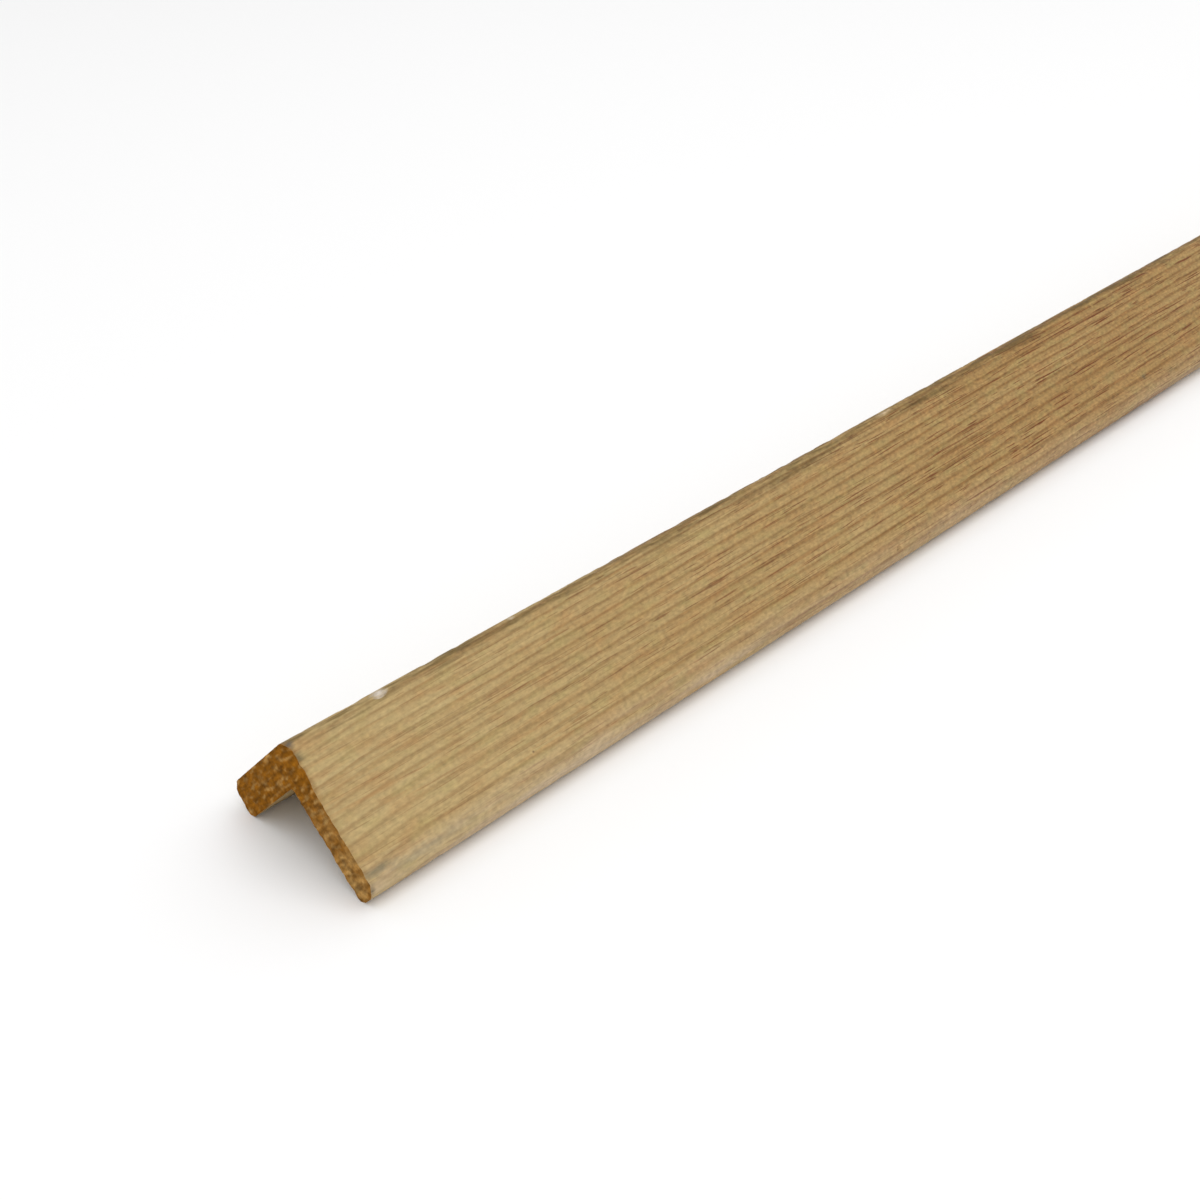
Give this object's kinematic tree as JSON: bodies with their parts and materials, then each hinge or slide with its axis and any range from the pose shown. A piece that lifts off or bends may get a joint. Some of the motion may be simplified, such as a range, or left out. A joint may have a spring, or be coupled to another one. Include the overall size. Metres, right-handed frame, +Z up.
{
  "type": "threshold strip",
  "caption": "Equal-legged softwood angle moulding with a rounded arris, made from finger-jointed stock and lying on its leg tips.",
  "frame": {"origin": "on the resting plane, under the middle of the strip", "axes": "+X along the strip away from the sawn end of first_length, +Z up through the arris, with the front leg on the -Y side"},
  "size_m": [0.9, 0.0458, 0.0286],
  "materials": {
    "first_timber": "planed, uncoated",
    "second_timber": "planed, uncoated",
    "third_timber": "planed, uncoated",
    "wood_glue": "dried glue, planed flush"
  },
  "bodies": {
    "root": {"first_length": "first_timber", "first_glue_line": "wood_glue", "second_length": "second_timber", "second_glue_line": "wood_glue", "third_length": "third_timber"}
  },
  "joints": []
}
